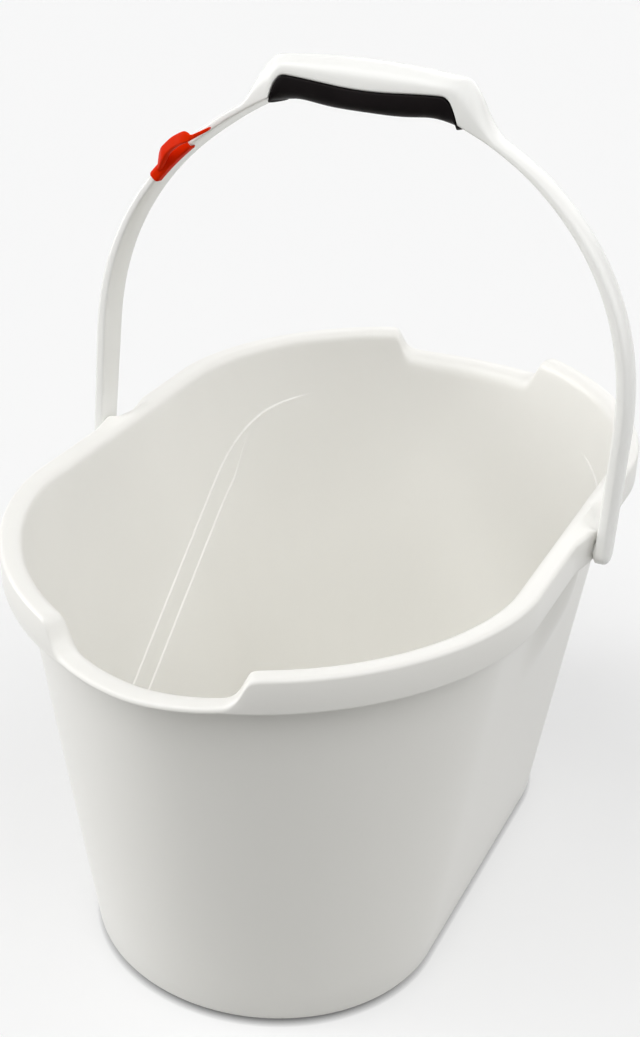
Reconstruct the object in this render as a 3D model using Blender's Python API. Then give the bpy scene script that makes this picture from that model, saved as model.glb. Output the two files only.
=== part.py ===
"""Oval mop bucket: moulded body with two pour spouts, a swinging bail, its grip pad and a pole clip.

Metres, +Z up. X runs along the bail's pivot axis, Y from one spout to the other, and the origin is
at the middle of the face that the bucket stands on.
"""
import math

import bmesh
import bpy

# Bucket body
RIM_LENGTH = 0.420
RIM_WIDTH = 0.272
RIM_HEIGHT = 0.2385
RIM_END_POWER = 1.8
BASE_LENGTH = 0.324
BASE_WIDTH = 0.188
BASE_END_POWER = 2.0
SIDE_STRAIGHT = 0.150
WALL = 0.0025
FLOOR = 0.003
BASE_ROUND = 0.006
RIM_FLAT = 0.011
RIM_ROUND = 0.0015
SKIRT_DEPTH = 0.018
SKIRT_HEM = 0.001

# Pour spouts at both ends of the rim
SPOUT_WIDTH = 0.096
SPOUT_DROP = 0.014
SPOUT_EASE = 0.014
SPOUT_DISH = 0.003

# Valley in the rim behind each pivot, the ear of the skirt at the pivot and the swelling of the wall
NOTCH_WIDTH = 0.020
NOTCH_DEPTH = 0.006
NOTCH_EASE = 0.010
NOTCH_BACK = 0.011
EAR_WIDTH = 0.024
EAR_EASE = 0.016
EAR_CLEARANCE = 0.0014
BOSS_WIDTH = 0.070
BOSS_DEPTH = 0.075
BOSS_SLIT = 0.0006

# Slanting double ledge moulded into the inner side walls
LEDGE_DEPTH = 0.116
LEDGE_SLOPE = 0.66
LEDGE_TOP_DEPTH = 0.033
LEDGE_TURN = 0.033
LEDGE_LOWEST = 0.034
LEDGE_STEP = 0.0015
LEDGE_BAND = 0.017
LEDGE_MEET = 0.118
LEDGE_MERGE = 0.028
LEDGE_LENGTH = 0.290
LEDGE_FADE = 0.030

# Bail: two crowned straps, a raised grip and a stud at each end
STUD_RADIUS = 0.004
STUD_CLEARANCE = 0.0003
STUD_COVER = 0.002
STUD_REACH = 0.004
ARM_GAP = 0.005
ARM_RISE = 0.059
ARM_END = 0.0065
ARM_END_WIDTH = 0.0155
STRAP_WIDTH = 0.018
STRAP_THICKNESS = 0.0072
STRAP_THINNEST = 0.0055
STRAP_EDGE_SHARE = 0.53
STRAP_ROUND = 0.0012
SHOULDER_RISE = 0.158
SHOULDER_RUN = 0.220
SHOULDER_POWER = 2.23
GRIP_LENGTH = 0.136
GRIP_FLANK = 0.020
GRIP_RISE = 0.0335
GRIP_ARCH = 0.0055
GRIP_WIDTH = 0.025
GRIP_THICKNESS = 0.013
GRIP_EDGE_SHARE = 0.60
BAIL_LEAN = math.radians(8.0)

# Grip pad, seated in a pocket under the grip
POCKET_LENGTH = 0.099
POCKET_FLANK = 0.007
PAD_THICKNESS = 0.0115
PAD_RECESS = 0.0018
PAD_TIP = 0.0018
PAD_POWER = 3.0
SEAT_GAP = 0.0003

# Pole clip on the left shoulder
POLE_RADIUS = 0.0083
POLE_CLEARANCE = 0.0004
CLIP_WALL = 0.0018
CLIP_KEEL = 0.002
CLIP_INSET = 0.029
CLIP_LENGTH = 0.017
JAW_AHEAD = 0.0115
JAW_TAIL = 0.003
JAW_DROP = 0.006
JAW_HEIGHT = 0.012
JAW_SLANT = 0.70
JAW_TAPER = 0.60
JAW_HOOK = 0.0023
JAW_OPEN = 0.0078
JAW_LIP = 0.003

# Fineness of the lofts
SIDE_STEPS = 3
END_STEPS = 12
VALLEY_STEPS = 8
EASE_STEPS = 3
SPOUT_STEPS = 4
BOSS_STEPS = 4
ARM_END_STEPS = 4
SHOULDER_STEPS = 10
GRIP_STEPS = 12
PAD_STEPS = 4
PAD_SIDES = 9
CROWN_STEPS = 5
SLEEVE_STEPS = 4
ROUND_SIDES = 28

# Derived places
HALF_WIDTH = RIM_WIDTH / 2
HALF_LENGTH = RIM_LENGTH / 2
HALF_STRAIGHT = SIDE_STRAIGHT / 2
STUD_HOLE = STUD_RADIUS + STUD_CLEARANCE
PIVOT_DROP = NOTCH_DEPTH + STUD_COVER + STUD_HOLE
PIVOT_HEIGHT = RIM_HEIGHT - PIVOT_DROP
ARM_INNER = HALF_WIDTH + ARM_GAP
EAR_PROUD = ARM_GAP - EAR_CLEARANCE
SHOULDER_CENTRE = ARM_INNER - SHOULDER_RUN
BOSS_FACE = HALF_WIDTH - WALL - BOSS_SLIT
STUD_TIP = BOSS_FACE - STUD_REACH
LEDGE_HIGHEST = RIM_HEIGHT - LEDGE_TOP_DEPTH
CLIP_START = ARM_INNER - CLIP_INSET
CLIP_END = CLIP_START - CLIP_LENGTH
JAW_OFFSET = CLIP_END - JAW_AHEAD


def ease(value):
    """Smooth step from 0 to 1."""
    value = min(1.0, max(0.0, value))
    return value * value * (3.0 - 2.0 * value)


def blend(start, end, share):
    return start + (end - start) * share


def clear_scene():
    for item in list(bpy.data.objects):
        bpy.data.objects.remove(item, do_unlink=True)


def new_collection(name):
    collection = bpy.data.collections.new(name)
    bpy.context.scene.collection.children.link(collection)
    return collection


def plastic(name, colour, roughness):
    material = bpy.data.materials.new(name)
    material.use_nodes = True
    shader = material.node_tree.nodes["Principled BSDF"]
    shader.inputs["Base Color"].default_value = (*colour, 1.0)
    shader.inputs["Roughness"].default_value = roughness
    shader.inputs["Metallic"].default_value = 0.0
    return material


def add_object(name, mesh_builder, collection, material=None):
    """Turn a bmesh into a named object, with outward normals and smooth faces."""
    bmesh.ops.recalc_face_normals(mesh_builder, faces=mesh_builder.faces)
    mesh = bpy.data.meshes.new(name)
    mesh_builder.to_mesh(mesh)
    mesh_builder.free()
    mesh.shade_smooth()
    mesh.set_sharp_from_angle(angle=math.radians(35.0))
    item = bpy.data.objects.new(name, mesh)
    collection.objects.link(item)
    if material is not None:
        mesh.materials.append(material)
    return item


def loft(rings, closed=False):
    """Skin a row of rings of equal count, and cap its two ends unless it closes on itself."""
    mesh = bmesh.new()
    rows = [[mesh.verts.new(point) for point in ring] for ring in rings]
    pairs = list(zip(rows, rows[1:]))
    if closed:
        pairs.append((rows[-1], rows[0]))
    for low, high in pairs:
        for index in range(len(low)):
            follow = (index + 1) % len(low)
            mesh.faces.new((low[index], low[follow], high[follow], high[index]))
    if not closed:
        mesh.faces.new(rows[0])
        mesh.faces.new(rows[-1])
    return mesh


def boolean(item, cutter, operation):
    modifier = item.modifiers.new(operation.lower() + "_" + cutter.name, "BOOLEAN")
    modifier.operation = operation
    modifier.solver = "EXACT"
    modifier.object = cutter


def as_cutter(item):
    item.hide_render = True
    item.display_type = "WIRE"
    return item


def cylinder(name, radius, start, end, axis, collection):
    """Round bar along X or Z between two places on that axis; start and end are full points."""
    mesh = bmesh.new()
    length = end[axis] - start[axis]
    sizes = {"radius1": radius, "radius2": radius, "depth": length}
    bmesh.ops.create_cone(mesh, cap_ends=True, segments=ROUND_SIDES, **sizes)
    item = add_object(name, mesh, collection)
    item.location = [(low + high) / 2 for low, high in zip(start, end)]
    if axis == 0:
        item.rotation_euler.y = math.pi / 2
    return item


def block(name, low, high, collection):
    mesh = bmesh.new()
    bmesh.ops.create_cube(mesh, size=1.0)
    size = [b - a for a, b in zip(low, high)]
    bmesh.ops.scale(mesh, vec=size, verts=mesh.verts)
    item = add_object(name, mesh, collection)
    item.location = [(a + b) / 2 for a, b in zip(low, high)]
    return item


def quarter_stations():
    """Places round a quarter of the plan: along the straight side, then over the rounded end."""
    steps = [step / EASE_STEPS for step in range(EASE_STEPS + 1)]
    valley_end = NOTCH_BACK + (NOTCH_WIDTH + NOTCH_EASE) / 2
    stations = [("side", valley_end * step / VALLEY_STEPS) for step in range(VALLEY_STEPS + 1)]
    shares = [step / SIDE_STEPS for step in range(1, SIDE_STEPS + 1)]
    stations += [("side", blend(valley_end, HALF_STRAIGHT, share)) for share in shares]
    spout_start = (SPOUT_WIDTH + SPOUT_EASE) / 2
    spout_end = (SPOUT_WIDTH - SPOUT_EASE) / 2
    across = [blend(spout_start, spout_end, share) for share in steps]
    turns = [math.acos((x / HALF_WIDTH) ** (RIM_END_POWER / 2)) for x in across]
    stations += [("end", turns[0] * step / END_STEPS) for step in range(1, END_STEPS)]
    stations += [("end", turn) for turn in turns]
    last = turns[-1]
    stations += [("end", blend(last, math.pi / 2, step / SPOUT_STEPS)) for step in range(1, SPOUT_STEPS + 1)]
    return stations


def full_round():
    """All stations in order, counter-clockwise from the right pivot, with the signs of their quarter."""
    quarter = quarter_stations()
    places = [(1, 1, station) for station in quarter]
    places += [(-1, 1, station) for station in reversed(quarter[:-1])]
    places += [(-1, -1, station) for station in quarter[1:]]
    places += [(1, -1, station) for station in reversed(quarter[1:-1])]
    return places


def plan_point(station, half_width, half_length, power):
    kind, value = station
    if kind == "side":
        return half_width, value
    across = half_width * max(0.0, math.cos(value)) ** (2 / power)
    along = HALF_STRAIGHT + (half_length - HALF_STRAIGHT) * math.sin(value) ** (2 / power)
    return across, along


def spout_share(station):
    if station[0] == "side":
        return 0.0
    across = plan_point(station, HALF_WIDTH, HALF_LENGTH, RIM_END_POWER)[0]
    return ease((SPOUT_WIDTH / 2 + SPOUT_EASE / 2 - across) / SPOUT_EASE)


def notch_share(station, along_sign):
    if station[0] != "side":
        return 0.0
    off = abs(along_sign * station[1] - NOTCH_BACK)
    return ease((NOTCH_WIDTH / 2 + NOTCH_EASE / 2 - off) / NOTCH_EASE)


def rim_crest(station, along_sign):
    """Height of the rim's inner edge, lowest at the middle of a spout."""
    across = plan_point(station, HALF_WIDTH, HALF_LENGTH, RIM_END_POWER)[0]
    dish = SPOUT_DISH * (1.0 - min(1.0, 2.0 * across / SPOUT_WIDTH) ** 2)
    return RIM_HEIGHT - SPOUT_DROP * spout_share(station) - dish


def rim_top(station, along_sign):
    """Height of the rim's outer edge, which dips in the valley behind each pivot."""
    return rim_crest(station, along_sign) - NOTCH_DEPTH * notch_share(station, along_sign)


def skirt_foot(station, along_sign):
    """Height of the skirt's lower edge, which stays under the lip at a spout."""
    return min(RIM_HEIGHT - SKIRT_DEPTH, rim_crest(station, along_sign) - WALL - SKIRT_HEM)


def ear_swell(station):
    """How far the skirt stands out to meet the bail's arm at a pivot."""
    if station[0] != "side":
        return 0.0
    return EAR_PROUD * ease((EAR_WIDTH / 2 + EAR_EASE / 2 - station[1]) / EAR_EASE)


def rim_ring(places, inset, height, eared=False):
    """Ring parallel to the rim's outline; height is a number or a function of the place."""
    ring = []
    for across_sign, along_sign, station in places:
        x, y = plan_point(station, HALF_WIDTH - inset, HALF_LENGTH - inset, RIM_END_POWER)
        z = height(station, along_sign) if callable(height) else height
        if eared:
            x += ear_swell(station)
        ring.append((across_sign * x, along_sign * y, z))
    return ring


def wall_point(station, height, inset):
    """Point on the tapering wall, measured in from its outer face."""
    share = height / RIM_HEIGHT
    top_inset = RIM_FLAT - WALL
    half_width = blend(BASE_WIDTH / 2, HALF_WIDTH - top_inset, share) - inset
    half_length = blend(BASE_LENGTH / 2, HALF_LENGTH - top_inset, share) - inset
    power = blend(BASE_END_POWER, RIM_END_POWER, share)
    return plan_point(station, half_width, half_length, power)


def boss_swell(station, height, x):
    """How far the outer wall swells towards the skirt behind a pivot."""
    if station[0] != "side":
        return 0.0
    full = RIM_HEIGHT - SKIRT_DEPTH - RIM_ROUND
    rise = ease((height - full + BOSS_DEPTH) / BOSS_DEPTH)
    spread = ease(1.0 - station[1] / (BOSS_WIDTH / 2))
    return (BOSS_FACE - x) * rise * spread


def outer_ring(places, inset, height):
    ring = []
    for across_sign, along_sign, station in places:
        z = height(station, along_sign) if callable(height) else height
        x, y = wall_point(station, z, inset)
        x += boss_swell(station, z, x)
        ring.append((across_sign * x, along_sign * y, z))
    return ring


def ledge_height(y):
    """Height of the ledge's upper line at a place along the bucket."""
    slanted = RIM_HEIGHT - LEDGE_DEPTH + LEDGE_SLOPE * y
    top = LEDGE_HIGHEST - slanted
    capped = LEDGE_HIGHEST - (top + math.hypot(top, LEDGE_TURN / 2)) / 2
    return max(LEDGE_LOWEST, capped)


def ledge_reach(y):
    """Depth of the upper step, which runs out towards both ends."""
    return LEDGE_STEP * ease((LEDGE_LENGTH / 2 + LEDGE_FADE / 2 - abs(y)) / LEDGE_FADE)


def ledge_parting(y):
    """Share of the full band between the two steps, which meet towards the far end."""
    return ease((LEDGE_MEET - y) / LEDGE_MERGE)


def lower_height(y):
    """Height of the lower step's upper line."""
    return ledge_height(y) - LEDGE_STEP - blend(LEDGE_STEP, LEDGE_BAND, ledge_parting(y))


def full_reach(y):
    """Depth of both steps together."""
    return ledge_reach(y) * (1.0 + ledge_parting(y))


def inner_ring(places, extra, height):
    """Ring on the inner wall; extra and height are functions of the place along the bucket."""
    ring = []
    for across_sign, along_sign, station in places:
        y_rough = along_sign * plan_point(station, HALF_WIDTH, HALF_LENGTH, RIM_END_POWER)[1]
        z = height(y_rough)
        x, y = wall_point(station, z, WALL + extra(y_rough))
        ring.append((across_sign * x, along_sign * y, z))
    return ring


def body_rings():
    places = full_round()
    corner = BASE_ROUND * (1.0 - math.sqrt(0.5))
    boss_full = RIM_HEIGHT - SKIRT_DEPTH - RIM_ROUND
    boss_foot = boss_full - BOSS_DEPTH
    inner_round = BASE_ROUND
    inner_corner = inner_round * (1.0 - math.sqrt(0.5))
    rings = [
        outer_ring(places, BASE_ROUND, 0.0),
        outer_ring(places, corner, corner),
        outer_ring(places, 0.0, BASE_ROUND),
        outer_ring(places, 0.0, boss_foot),
    ]
    for step in range(1, BOSS_STEPS + 1):
        rings.append(outer_ring(places, 0.0, blend(boss_foot, boss_full, step / BOSS_STEPS)))
    rings += [
        outer_ring(places, 0.0, lambda station, along: rim_top(station, along) - WALL),
        rim_ring(places, WALL, lambda station, along: rim_top(station, along) - WALL),
        rim_ring(places, WALL, skirt_foot),
        rim_ring(places, 0.0, skirt_foot, eared=True),
        rim_ring(places, 0.0, lambda station, along: rim_top(station, along) - RIM_ROUND, eared=True),
        rim_ring(places, RIM_ROUND, rim_top, eared=True),
        rim_ring(places, RIM_FLAT - RIM_ROUND, rim_crest),
        rim_ring(places, RIM_FLAT, lambda station, along: rim_crest(station, along) - RIM_ROUND),
        inner_ring(places, lambda y: 0.0, ledge_height),
        inner_ring(places, ledge_reach, lambda y: ledge_height(y) - LEDGE_STEP),
        inner_ring(places, ledge_reach, lower_height),
        inner_ring(places, full_reach, lambda y: lower_height(y) - LEDGE_STEP),
        inner_ring(places, full_reach, lambda y: FLOOR + inner_round),
        inner_ring(places, lambda y: full_reach(y) + inner_corner, lambda y: FLOOR + inner_corner),
        inner_ring(places, lambda y: full_reach(y) + inner_round, lambda y: FLOOR),
    ]
    return rings


def make_body(parts, cutters, material):
    body = add_object("bucket_body", loft(body_rings()), parts, material)
    for side, name in ((1, "right"), (-1, "left")):
        inner = side * (STUD_TIP - STUD_CLEARANCE)
        outer = side * ARM_INNER
        start = (min(inner, outer), 0.0, PIVOT_HEIGHT)
        end = (max(inner, outer), 0.0, PIVOT_HEIGHT)
        hole = as_cutter(cylinder("stud_hole_" + name, STUD_HOLE, start, end, 0, cutters))
        boolean(body, hole, "DIFFERENCE")
    return body


def shoulder_height(x):
    """Height over the pivot of the strap's inner face at a distance from the middle."""
    across = max(0.0, min(1.0, (x - SHOULDER_CENTRE) / SHOULDER_RUN))
    return ARM_RISE + SHOULDER_RISE * (1.0 - across ** SHOULDER_POWER) ** (1 / SHOULDER_POWER)


def shoulder_normal(x, h):
    """Direction square to the strap's inner face, as an angle up from straight outwards."""
    across = (x - SHOULDER_CENTRE) / SHOULDER_RUN
    along = (h - ARM_RISE) / SHOULDER_RISE
    rising = along ** (SHOULDER_POWER - 1) / SHOULDER_RISE
    outward = across ** (SHOULDER_POWER - 1) / SHOULDER_RUN
    return math.atan2(rising, outward)


def shoulder_turn(x):
    return math.acos(((x - SHOULDER_CENTRE) / SHOULDER_RUN) ** (SHOULDER_POWER / 2))


def shoulder_point(turn):
    """Inner face of the shoulder at a turn from the top of the arm, with its normal."""
    x = SHOULDER_CENTRE + SHOULDER_RUN * math.cos(turn) ** (2 / SHOULDER_POWER)
    h = ARM_RISE + SHOULDER_RISE * math.sin(turn) ** (2 / SHOULDER_POWER)
    return x, h, shoulder_normal(x, h)


def strap_thickness(turn):
    """The strap grows thinner from the arm to the grip."""
    return blend(STRAP_THICKNESS, STRAP_THINNEST, turn / shoulder_turn(GRIP_LENGTH / 2))


def offset(x, h, normal, distance):
    return x + distance * math.cos(normal), h + distance * math.sin(normal)


def grip_height():
    """Height over the pivot of the highest point of the grip."""
    return shoulder_height(GRIP_LENGTH / 2) + GRIP_RISE


def pocket_roof():
    return grip_height() - GRIP_THICKNESS


def grip_share(x):
    """Share of the way from the thin strap to the full grip."""
    start = GRIP_LENGTH / 2
    full = POCKET_LENGTH / 2 - POCKET_FLANK
    return min(1.0, max(0.0, (start - x) / (start - full)))


def grip_width(x):
    return blend(STRAP_WIDTH, GRIP_WIDTH, ease(grip_share(x)))


def underside(x):
    """Lower line of the bail round the grip: the strap's inner face, then the roof of the pocket."""
    share = ease((POCKET_LENGTH / 2 - x) / POCKET_FLANK)
    return blend(shoulder_height(x), pocket_roof(), share)


def topside(x):
    """Upper line of the bail round the grip: the strap's crown, then the arched top of the grip."""
    inner = shoulder_height(x)
    strap = inner + STRAP_THINNEST / math.sin(shoulder_normal(x, inner))
    crown = grip_height() - GRIP_ARCH * (2.0 * x / GRIP_LENGTH) ** 2
    return blend(strap, crown, ease((GRIP_LENGTH / 2 - x) / GRIP_FLANK))


def grip_places():
    """Distances from the middle at which the grip and its pad are both cut into sections."""
    first = GRIP_LENGTH / 2
    last = POCKET_LENGTH / 2 - POCKET_FLANK
    places = [blend(first, last, step / GRIP_STEPS) for step in range(GRIP_STEPS + 1)]
    return places + [last / 2, 0.0]


def strap_section(inner, outer, width, edge_share):
    """Cross-section: flat inner face, short edges and a crowned outer face."""
    half = width / 2
    thick = math.dist(inner, outer)
    edge = thick * edge_share
    crown = thick - edge
    soft = min(STRAP_ROUND, half / 2)
    outline = [(0.0, -half + soft), (0.0, half - soft), (soft, half), (edge, half)]
    for step in range(1, CROWN_STEPS):
        across = math.cos(math.pi * step / CROWN_STEPS)
        outline.append((edge + crown * math.sqrt(1.0 - across * across), half * across))
    outline += [(edge, -half), (soft, -half)]
    run, rise = (outer[0] - inner[0]) / thick, (outer[1] - inner[1]) / thick
    return [(inner[0] + out * run, side, inner[1] + out * rise) for out, side in outline]


def half_bail():
    """Sections of the right half of the bail, from the round end of the arm to the middle of the grip."""
    arm = []
    for step in range(1, ARM_END_STEPS):
        angle = math.pi / 2 * (1.0 - step / ARM_END_STEPS)
        arm.append((-ARM_END * math.sin(angle), ARM_END_WIDTH * math.cos(angle)))
    for share in (0.0, 0.5, 1.0):
        arm.append((ARM_RISE * share, blend(ARM_END_WIDTH, STRAP_WIDTH, share)))
    sections = []
    for h, width in arm:
        sections.append(((ARM_INNER, h), (ARM_INNER + STRAP_THICKNESS, h), width, STRAP_EDGE_SHARE))
    grip_turn = shoulder_turn(GRIP_LENGTH / 2)
    for step in range(1, SHOULDER_STEPS):
        turn = grip_turn * step / SHOULDER_STEPS
        x, h, normal = shoulder_point(turn)
        outer = offset(x, h, normal, strap_thickness(turn))
        sections.append(((x, h), outer, STRAP_WIDTH, STRAP_EDGE_SHARE))
    tilt = STRAP_THINNEST * math.cos(shoulder_point(grip_turn)[2])
    for place in grip_places():
        share = grip_share(place)
        top = place + tilt * (1.0 - share)
        edge_share = blend(STRAP_EDGE_SHARE, GRIP_EDGE_SHARE, share)
        sections.append(((place, underside(place)), (top, topside(top)), grip_width(place), edge_share))
    return sections


def mirrored(section):
    inner, outer, width, edge_share = section
    return (-inner[0], inner[1]), (-outer[0], outer[1]), width, edge_share


def make_bail(parts, cutters, pivot, material):
    right = half_bail()
    left = [mirrored(section) for section in reversed(right[:-1])]
    rings = [strap_section(*section) for section in right + left]
    bail = add_object("bail", loft(rings), parts, material)
    bail.parent = pivot
    for side, name in ((1, "right"), (-1, "left")):
        tip = side * STUD_TIP
        root = side * (ARM_INNER + STRAP_THICKNESS / 3)
        start = (min(tip, root), 0.0, 0.0)
        end = (max(tip, root), 0.0, 0.0)
        stud = as_cutter(cylinder("stud_" + name, STUD_RADIUS, start, end, 0, cutters))
        stud.parent = pivot
        boolean(bail, stud, "UNION")
    return bail


def pad_section(side, place):
    """Section of the pad under one section of the pocket, set off from it in both directions."""
    x = side * max(0.0, place - SEAT_GAP)
    top = underside(place) - SEAT_GAP
    lowest = pocket_roof() - SEAT_GAP - PAD_THICKNESS
    along = min(1.0, 2.0 * place / POCKET_LENGTH)
    wave = (1.0 - math.cos(2.0 * math.pi * along * along)) / 2.0
    depth = top - min(top - PAD_TIP, lowest + PAD_RECESS * wave)
    half = grip_width(place) / 2
    section = []
    for step in range(PAD_SIDES + 1):
        angle = math.pi * step / PAD_SIDES
        across = math.copysign(abs(math.cos(angle)) ** (2 / PAD_POWER), math.cos(angle))
        drop = math.sin(angle) ** (2 / PAD_POWER) if 0 < step < PAD_SIDES else 0.0
        section.append((x, half * across, top - depth * drop))
    return section


def make_pad(parts, pivot, material):
    flank = [place for place in grip_places()[:-2] if place < POCKET_LENGTH / 2]
    belly = [blend(flank[-1], 0.0, step / PAD_STEPS) for step in range(1, PAD_STEPS + 1)]
    right = flank + belly
    rings = [pad_section(1, place) for place in right]
    rings += [pad_section(-1, place) for place in reversed(right[:-1])]
    pad = add_object("grip_pad", loft(rings), parts, material)
    pad.parent = pivot
    return pad


def sleeve_loop(turn, gap, keel):
    """Loop round the left shoulder's strap, off its surface by a gap and by a keel on the inner face."""
    x, h, normal = shoulder_point(turn)
    inner = offset(x, h, normal, -gap - keel)
    outer = offset(x, h, normal, strap_thickness(turn) + gap)
    return strap_section(*mirrored((inner, outer, STRAP_WIDTH + 2.0 * gap, STRAP_EDGE_SHARE)))


def slant(item):
    """Slant the jaw's ring along the strap and let it taper towards its mouth."""
    reach = max(vertex.co.x for vertex in item.data.vertices)
    for vertex in item.data.vertices:
        taper = 1.0 - JAW_TAPER * (vertex.co.x / reach + 1.0) / 2.0
        vertex.co.z = vertex.co.z * taper + JAW_SLANT * vertex.co.x
    return item


def make_clip(parts, cutters, pivot, material):
    """Sleeve on the strap with an open jaw in front of it that takes a pole."""
    outside = SEAT_GAP + CLIP_WALL
    first = shoulder_turn(CLIP_START)
    last = shoulder_turn(JAW_OFFSET - JAW_TAIL)
    turns = [blend(first, last, step / SLEEVE_STEPS) for step in range(SLEEVE_STEPS + 1)]
    rings = [sleeve_loop(turn, outside, CLIP_KEEL) for turn in turns]
    rings += [sleeve_loop(turn, SEAT_GAP, 0.0) for turn in reversed(turns)]
    clip = add_object("pole_clip", loft(rings, closed=True), parts, material)
    clip.parent = pivot
    bore = POLE_RADIUS + POLE_CLEARANCE
    ring_radius = bore + CLIP_WALL
    centre_y = -(STRAP_WIDTH / 2 + 2.0 * SEAT_GAP + ring_radius)
    x = -JAW_OFFSET
    h = shoulder_height(JAW_OFFSET) + strap_thickness(last) / 2 - JAW_DROP
    low, high = h - JAW_HEIGHT / 2, h + JAW_HEIGHT / 2
    past = ring_radius * 2
    jaw = slant(cylinder("jaw_ring", ring_radius, (x, centre_y, low), (x, centre_y, high), 2, cutters))
    hole = cylinder("jaw_bore", bore, (x, centre_y, low - past), (x, centre_y, high + past), 2, cutters)
    mouth_low = (x + JAW_LIP, centre_y - JAW_HOOK, low - past)
    mouth_high = (x + past, centre_y + JAW_OPEN, high + past)
    mouth = block("jaw_mouth", mouth_low, mouth_high, cutters)
    near_face = -(STRAP_WIDTH / 2 + SEAT_GAP)
    tail_low = (-CLIP_END, near_face, ARM_RISE)
    tail_high = (0.0, STRAP_WIDTH, grip_height())
    tail = block("tail_relief", tail_low, tail_high, cutters)
    steps = ((tail, "DIFFERENCE"), (jaw, "UNION"), (hole, "DIFFERENCE"), (mouth, "DIFFERENCE"))
    for cutter, operation in steps:
        as_cutter(cutter).parent = pivot
        boolean(clip, cutter, operation)
    return clip


def main():
    clear_scene()
    parts = new_collection("mop_bucket")
    cutters = new_collection("cutters")
    white = plastic("white_plastic", (0.83, 0.82, 0.79), 0.28)
    bail_white = plastic("bail_plastic", (0.85, 0.84, 0.81), 0.30)
    black = plastic("soft_black", (0.012, 0.012, 0.013), 0.55)
    red = plastic("red_plastic", (0.62, 0.045, 0.012), 0.32)
    make_body(parts, cutters, white)
    pivot = bpy.data.objects.new("bail_pivot", None)
    pivot.location = (0.0, 0.0, PIVOT_HEIGHT)
    pivot.rotation_euler.x = -BAIL_LEAN
    parts.objects.link(pivot)
    make_bail(parts, cutters, pivot, bail_white)
    make_pad(parts, pivot, black)
    make_clip(parts, cutters, pivot, red)


main()
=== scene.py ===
import math

import bmesh
import bpy
from mathutils import Matrix, Vector


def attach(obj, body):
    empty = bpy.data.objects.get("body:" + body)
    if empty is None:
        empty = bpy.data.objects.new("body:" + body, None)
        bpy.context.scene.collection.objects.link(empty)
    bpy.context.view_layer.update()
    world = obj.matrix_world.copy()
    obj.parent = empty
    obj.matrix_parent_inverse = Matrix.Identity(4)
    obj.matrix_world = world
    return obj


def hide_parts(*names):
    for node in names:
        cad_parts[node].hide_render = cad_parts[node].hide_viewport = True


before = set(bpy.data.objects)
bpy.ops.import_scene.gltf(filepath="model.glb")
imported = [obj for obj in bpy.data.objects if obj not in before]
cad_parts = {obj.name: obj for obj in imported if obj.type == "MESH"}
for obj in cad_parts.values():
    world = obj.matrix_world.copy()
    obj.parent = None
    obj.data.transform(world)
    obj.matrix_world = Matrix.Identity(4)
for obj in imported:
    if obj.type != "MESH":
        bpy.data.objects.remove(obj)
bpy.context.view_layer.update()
scene = bpy.context.scene
print("frame: nodes", sorted(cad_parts))


def mix(a, b, share):
    return a + (b - a) * share


def soft(share):                                        # smooth step from 0 to 1
    share = max(0.0, min(1.0, share))
    return share * share * (3.0 - 2.0 * share)


def bow(start, corner, end, share):                     # round a corner between two points
    lead, trail = (1 - share) ** 2, share ** 2
    turn = 2 * share * (1 - share)
    return tuple(lead * a + turn * b + trail * c for a, b, c in zip(start, corner, end))


def steps(count):                                       # shares from 0 to 1
    return [step / count for step in range(count + 1)]


# Skins: a ring of edges is pulled from place to place

def startRing(bm, points):
    ring = bmesh.ops.create_circle(bm, segments=len(points), radius=0.01)["verts"]
    for vert, point in zip(ring, points):
        vert.co = point
    return ring


def ringEdges(bm, ring):
    return [bm.edges.get(pair) for pair in zip(ring, ring[1:] + ring[:1])]


def pullRing(bm, ring, points):
    grown = bmesh.ops.extrude_edge_only(bm, edges=ringEdges(bm, ring))["geom"]
    fresh = {part for part in grown if isinstance(part, bmesh.types.BMVert)}
    pulled = []
    for vert, point in zip(ring, points):
        twin = next(e.other_vert(vert) for e in vert.link_edges if e.other_vert(vert) in fresh)
        twin.co = point
        pulled.append(twin)
    return pulled


def skin(rings, loop=False):                            # closed skin over rows of rings
    bm = bmesh.new()
    first = ring = startRing(bm, rings[0])
    for points in rings[1:]:
        ring = pullRing(bm, ring, points)
    if loop:
        bmesh.ops.bridge_loops(bm, edges=ringEdges(bm, first) + ringEdges(bm, ring))
    else:
        bmesh.ops.edgeloop_fill(bm, edges=ringEdges(bm, first))
        bmesh.ops.edgeloop_fill(bm, edges=ringEdges(bm, ring))
    bmesh.ops.recalc_face_normals(bm, faces=bm.faces)
    return bm


def looseObject(name, bm):
    mesh = bpy.data.meshes.new(name)
    bm.to_mesh(mesh)
    bm.free()
    item = bpy.data.objects.new(name, mesh)
    scene.collection.objects.link(item)
    return item


def carve(item, tool, operation):                       # Boolean, applied at once
    cut = item.modifiers.new("carve", "BOOLEAN")
    cut.operation, cut.solver, cut.object = operation, "EXACT", tool
    bpy.context.view_layer.update()
    shaped = item.evaluated_get(bpy.context.evaluated_depsgraph_get())
    mesh = bpy.data.meshes.new_from_object(shaped)
    item.modifiers.clear()
    item.data = mesh
    bpy.data.objects.remove(tool, do_unlink=True)


def finishPiece(item, material, body, node, sharp):
    mesh = item.data
    bm = bmesh.new()
    bm.from_mesh(mesh)
    bmesh.ops.remove_doubles(bm, verts=bm.verts, dist=1e-6)
    bmesh.ops.recalc_face_normals(bm, faces=bm.faces)
    bm.to_mesh(mesh)
    bm.free()
    mesh.shade_smooth()
    mesh.set_sharp_from_angle(angle=math.radians(sharp))
    mesh.materials.clear()
    mesh.materials.append(material)
    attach(item, body)
    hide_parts(node)
    print("piece:", item.name, len(mesh.vertices), "points on", body)
    return item


# Finishes

def addNode(tree, kind, place, **values):
    node = tree.nodes.new(kind)
    node.location = place
    for key, value in values.items():
        setattr(node, key, value)
    return node


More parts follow.
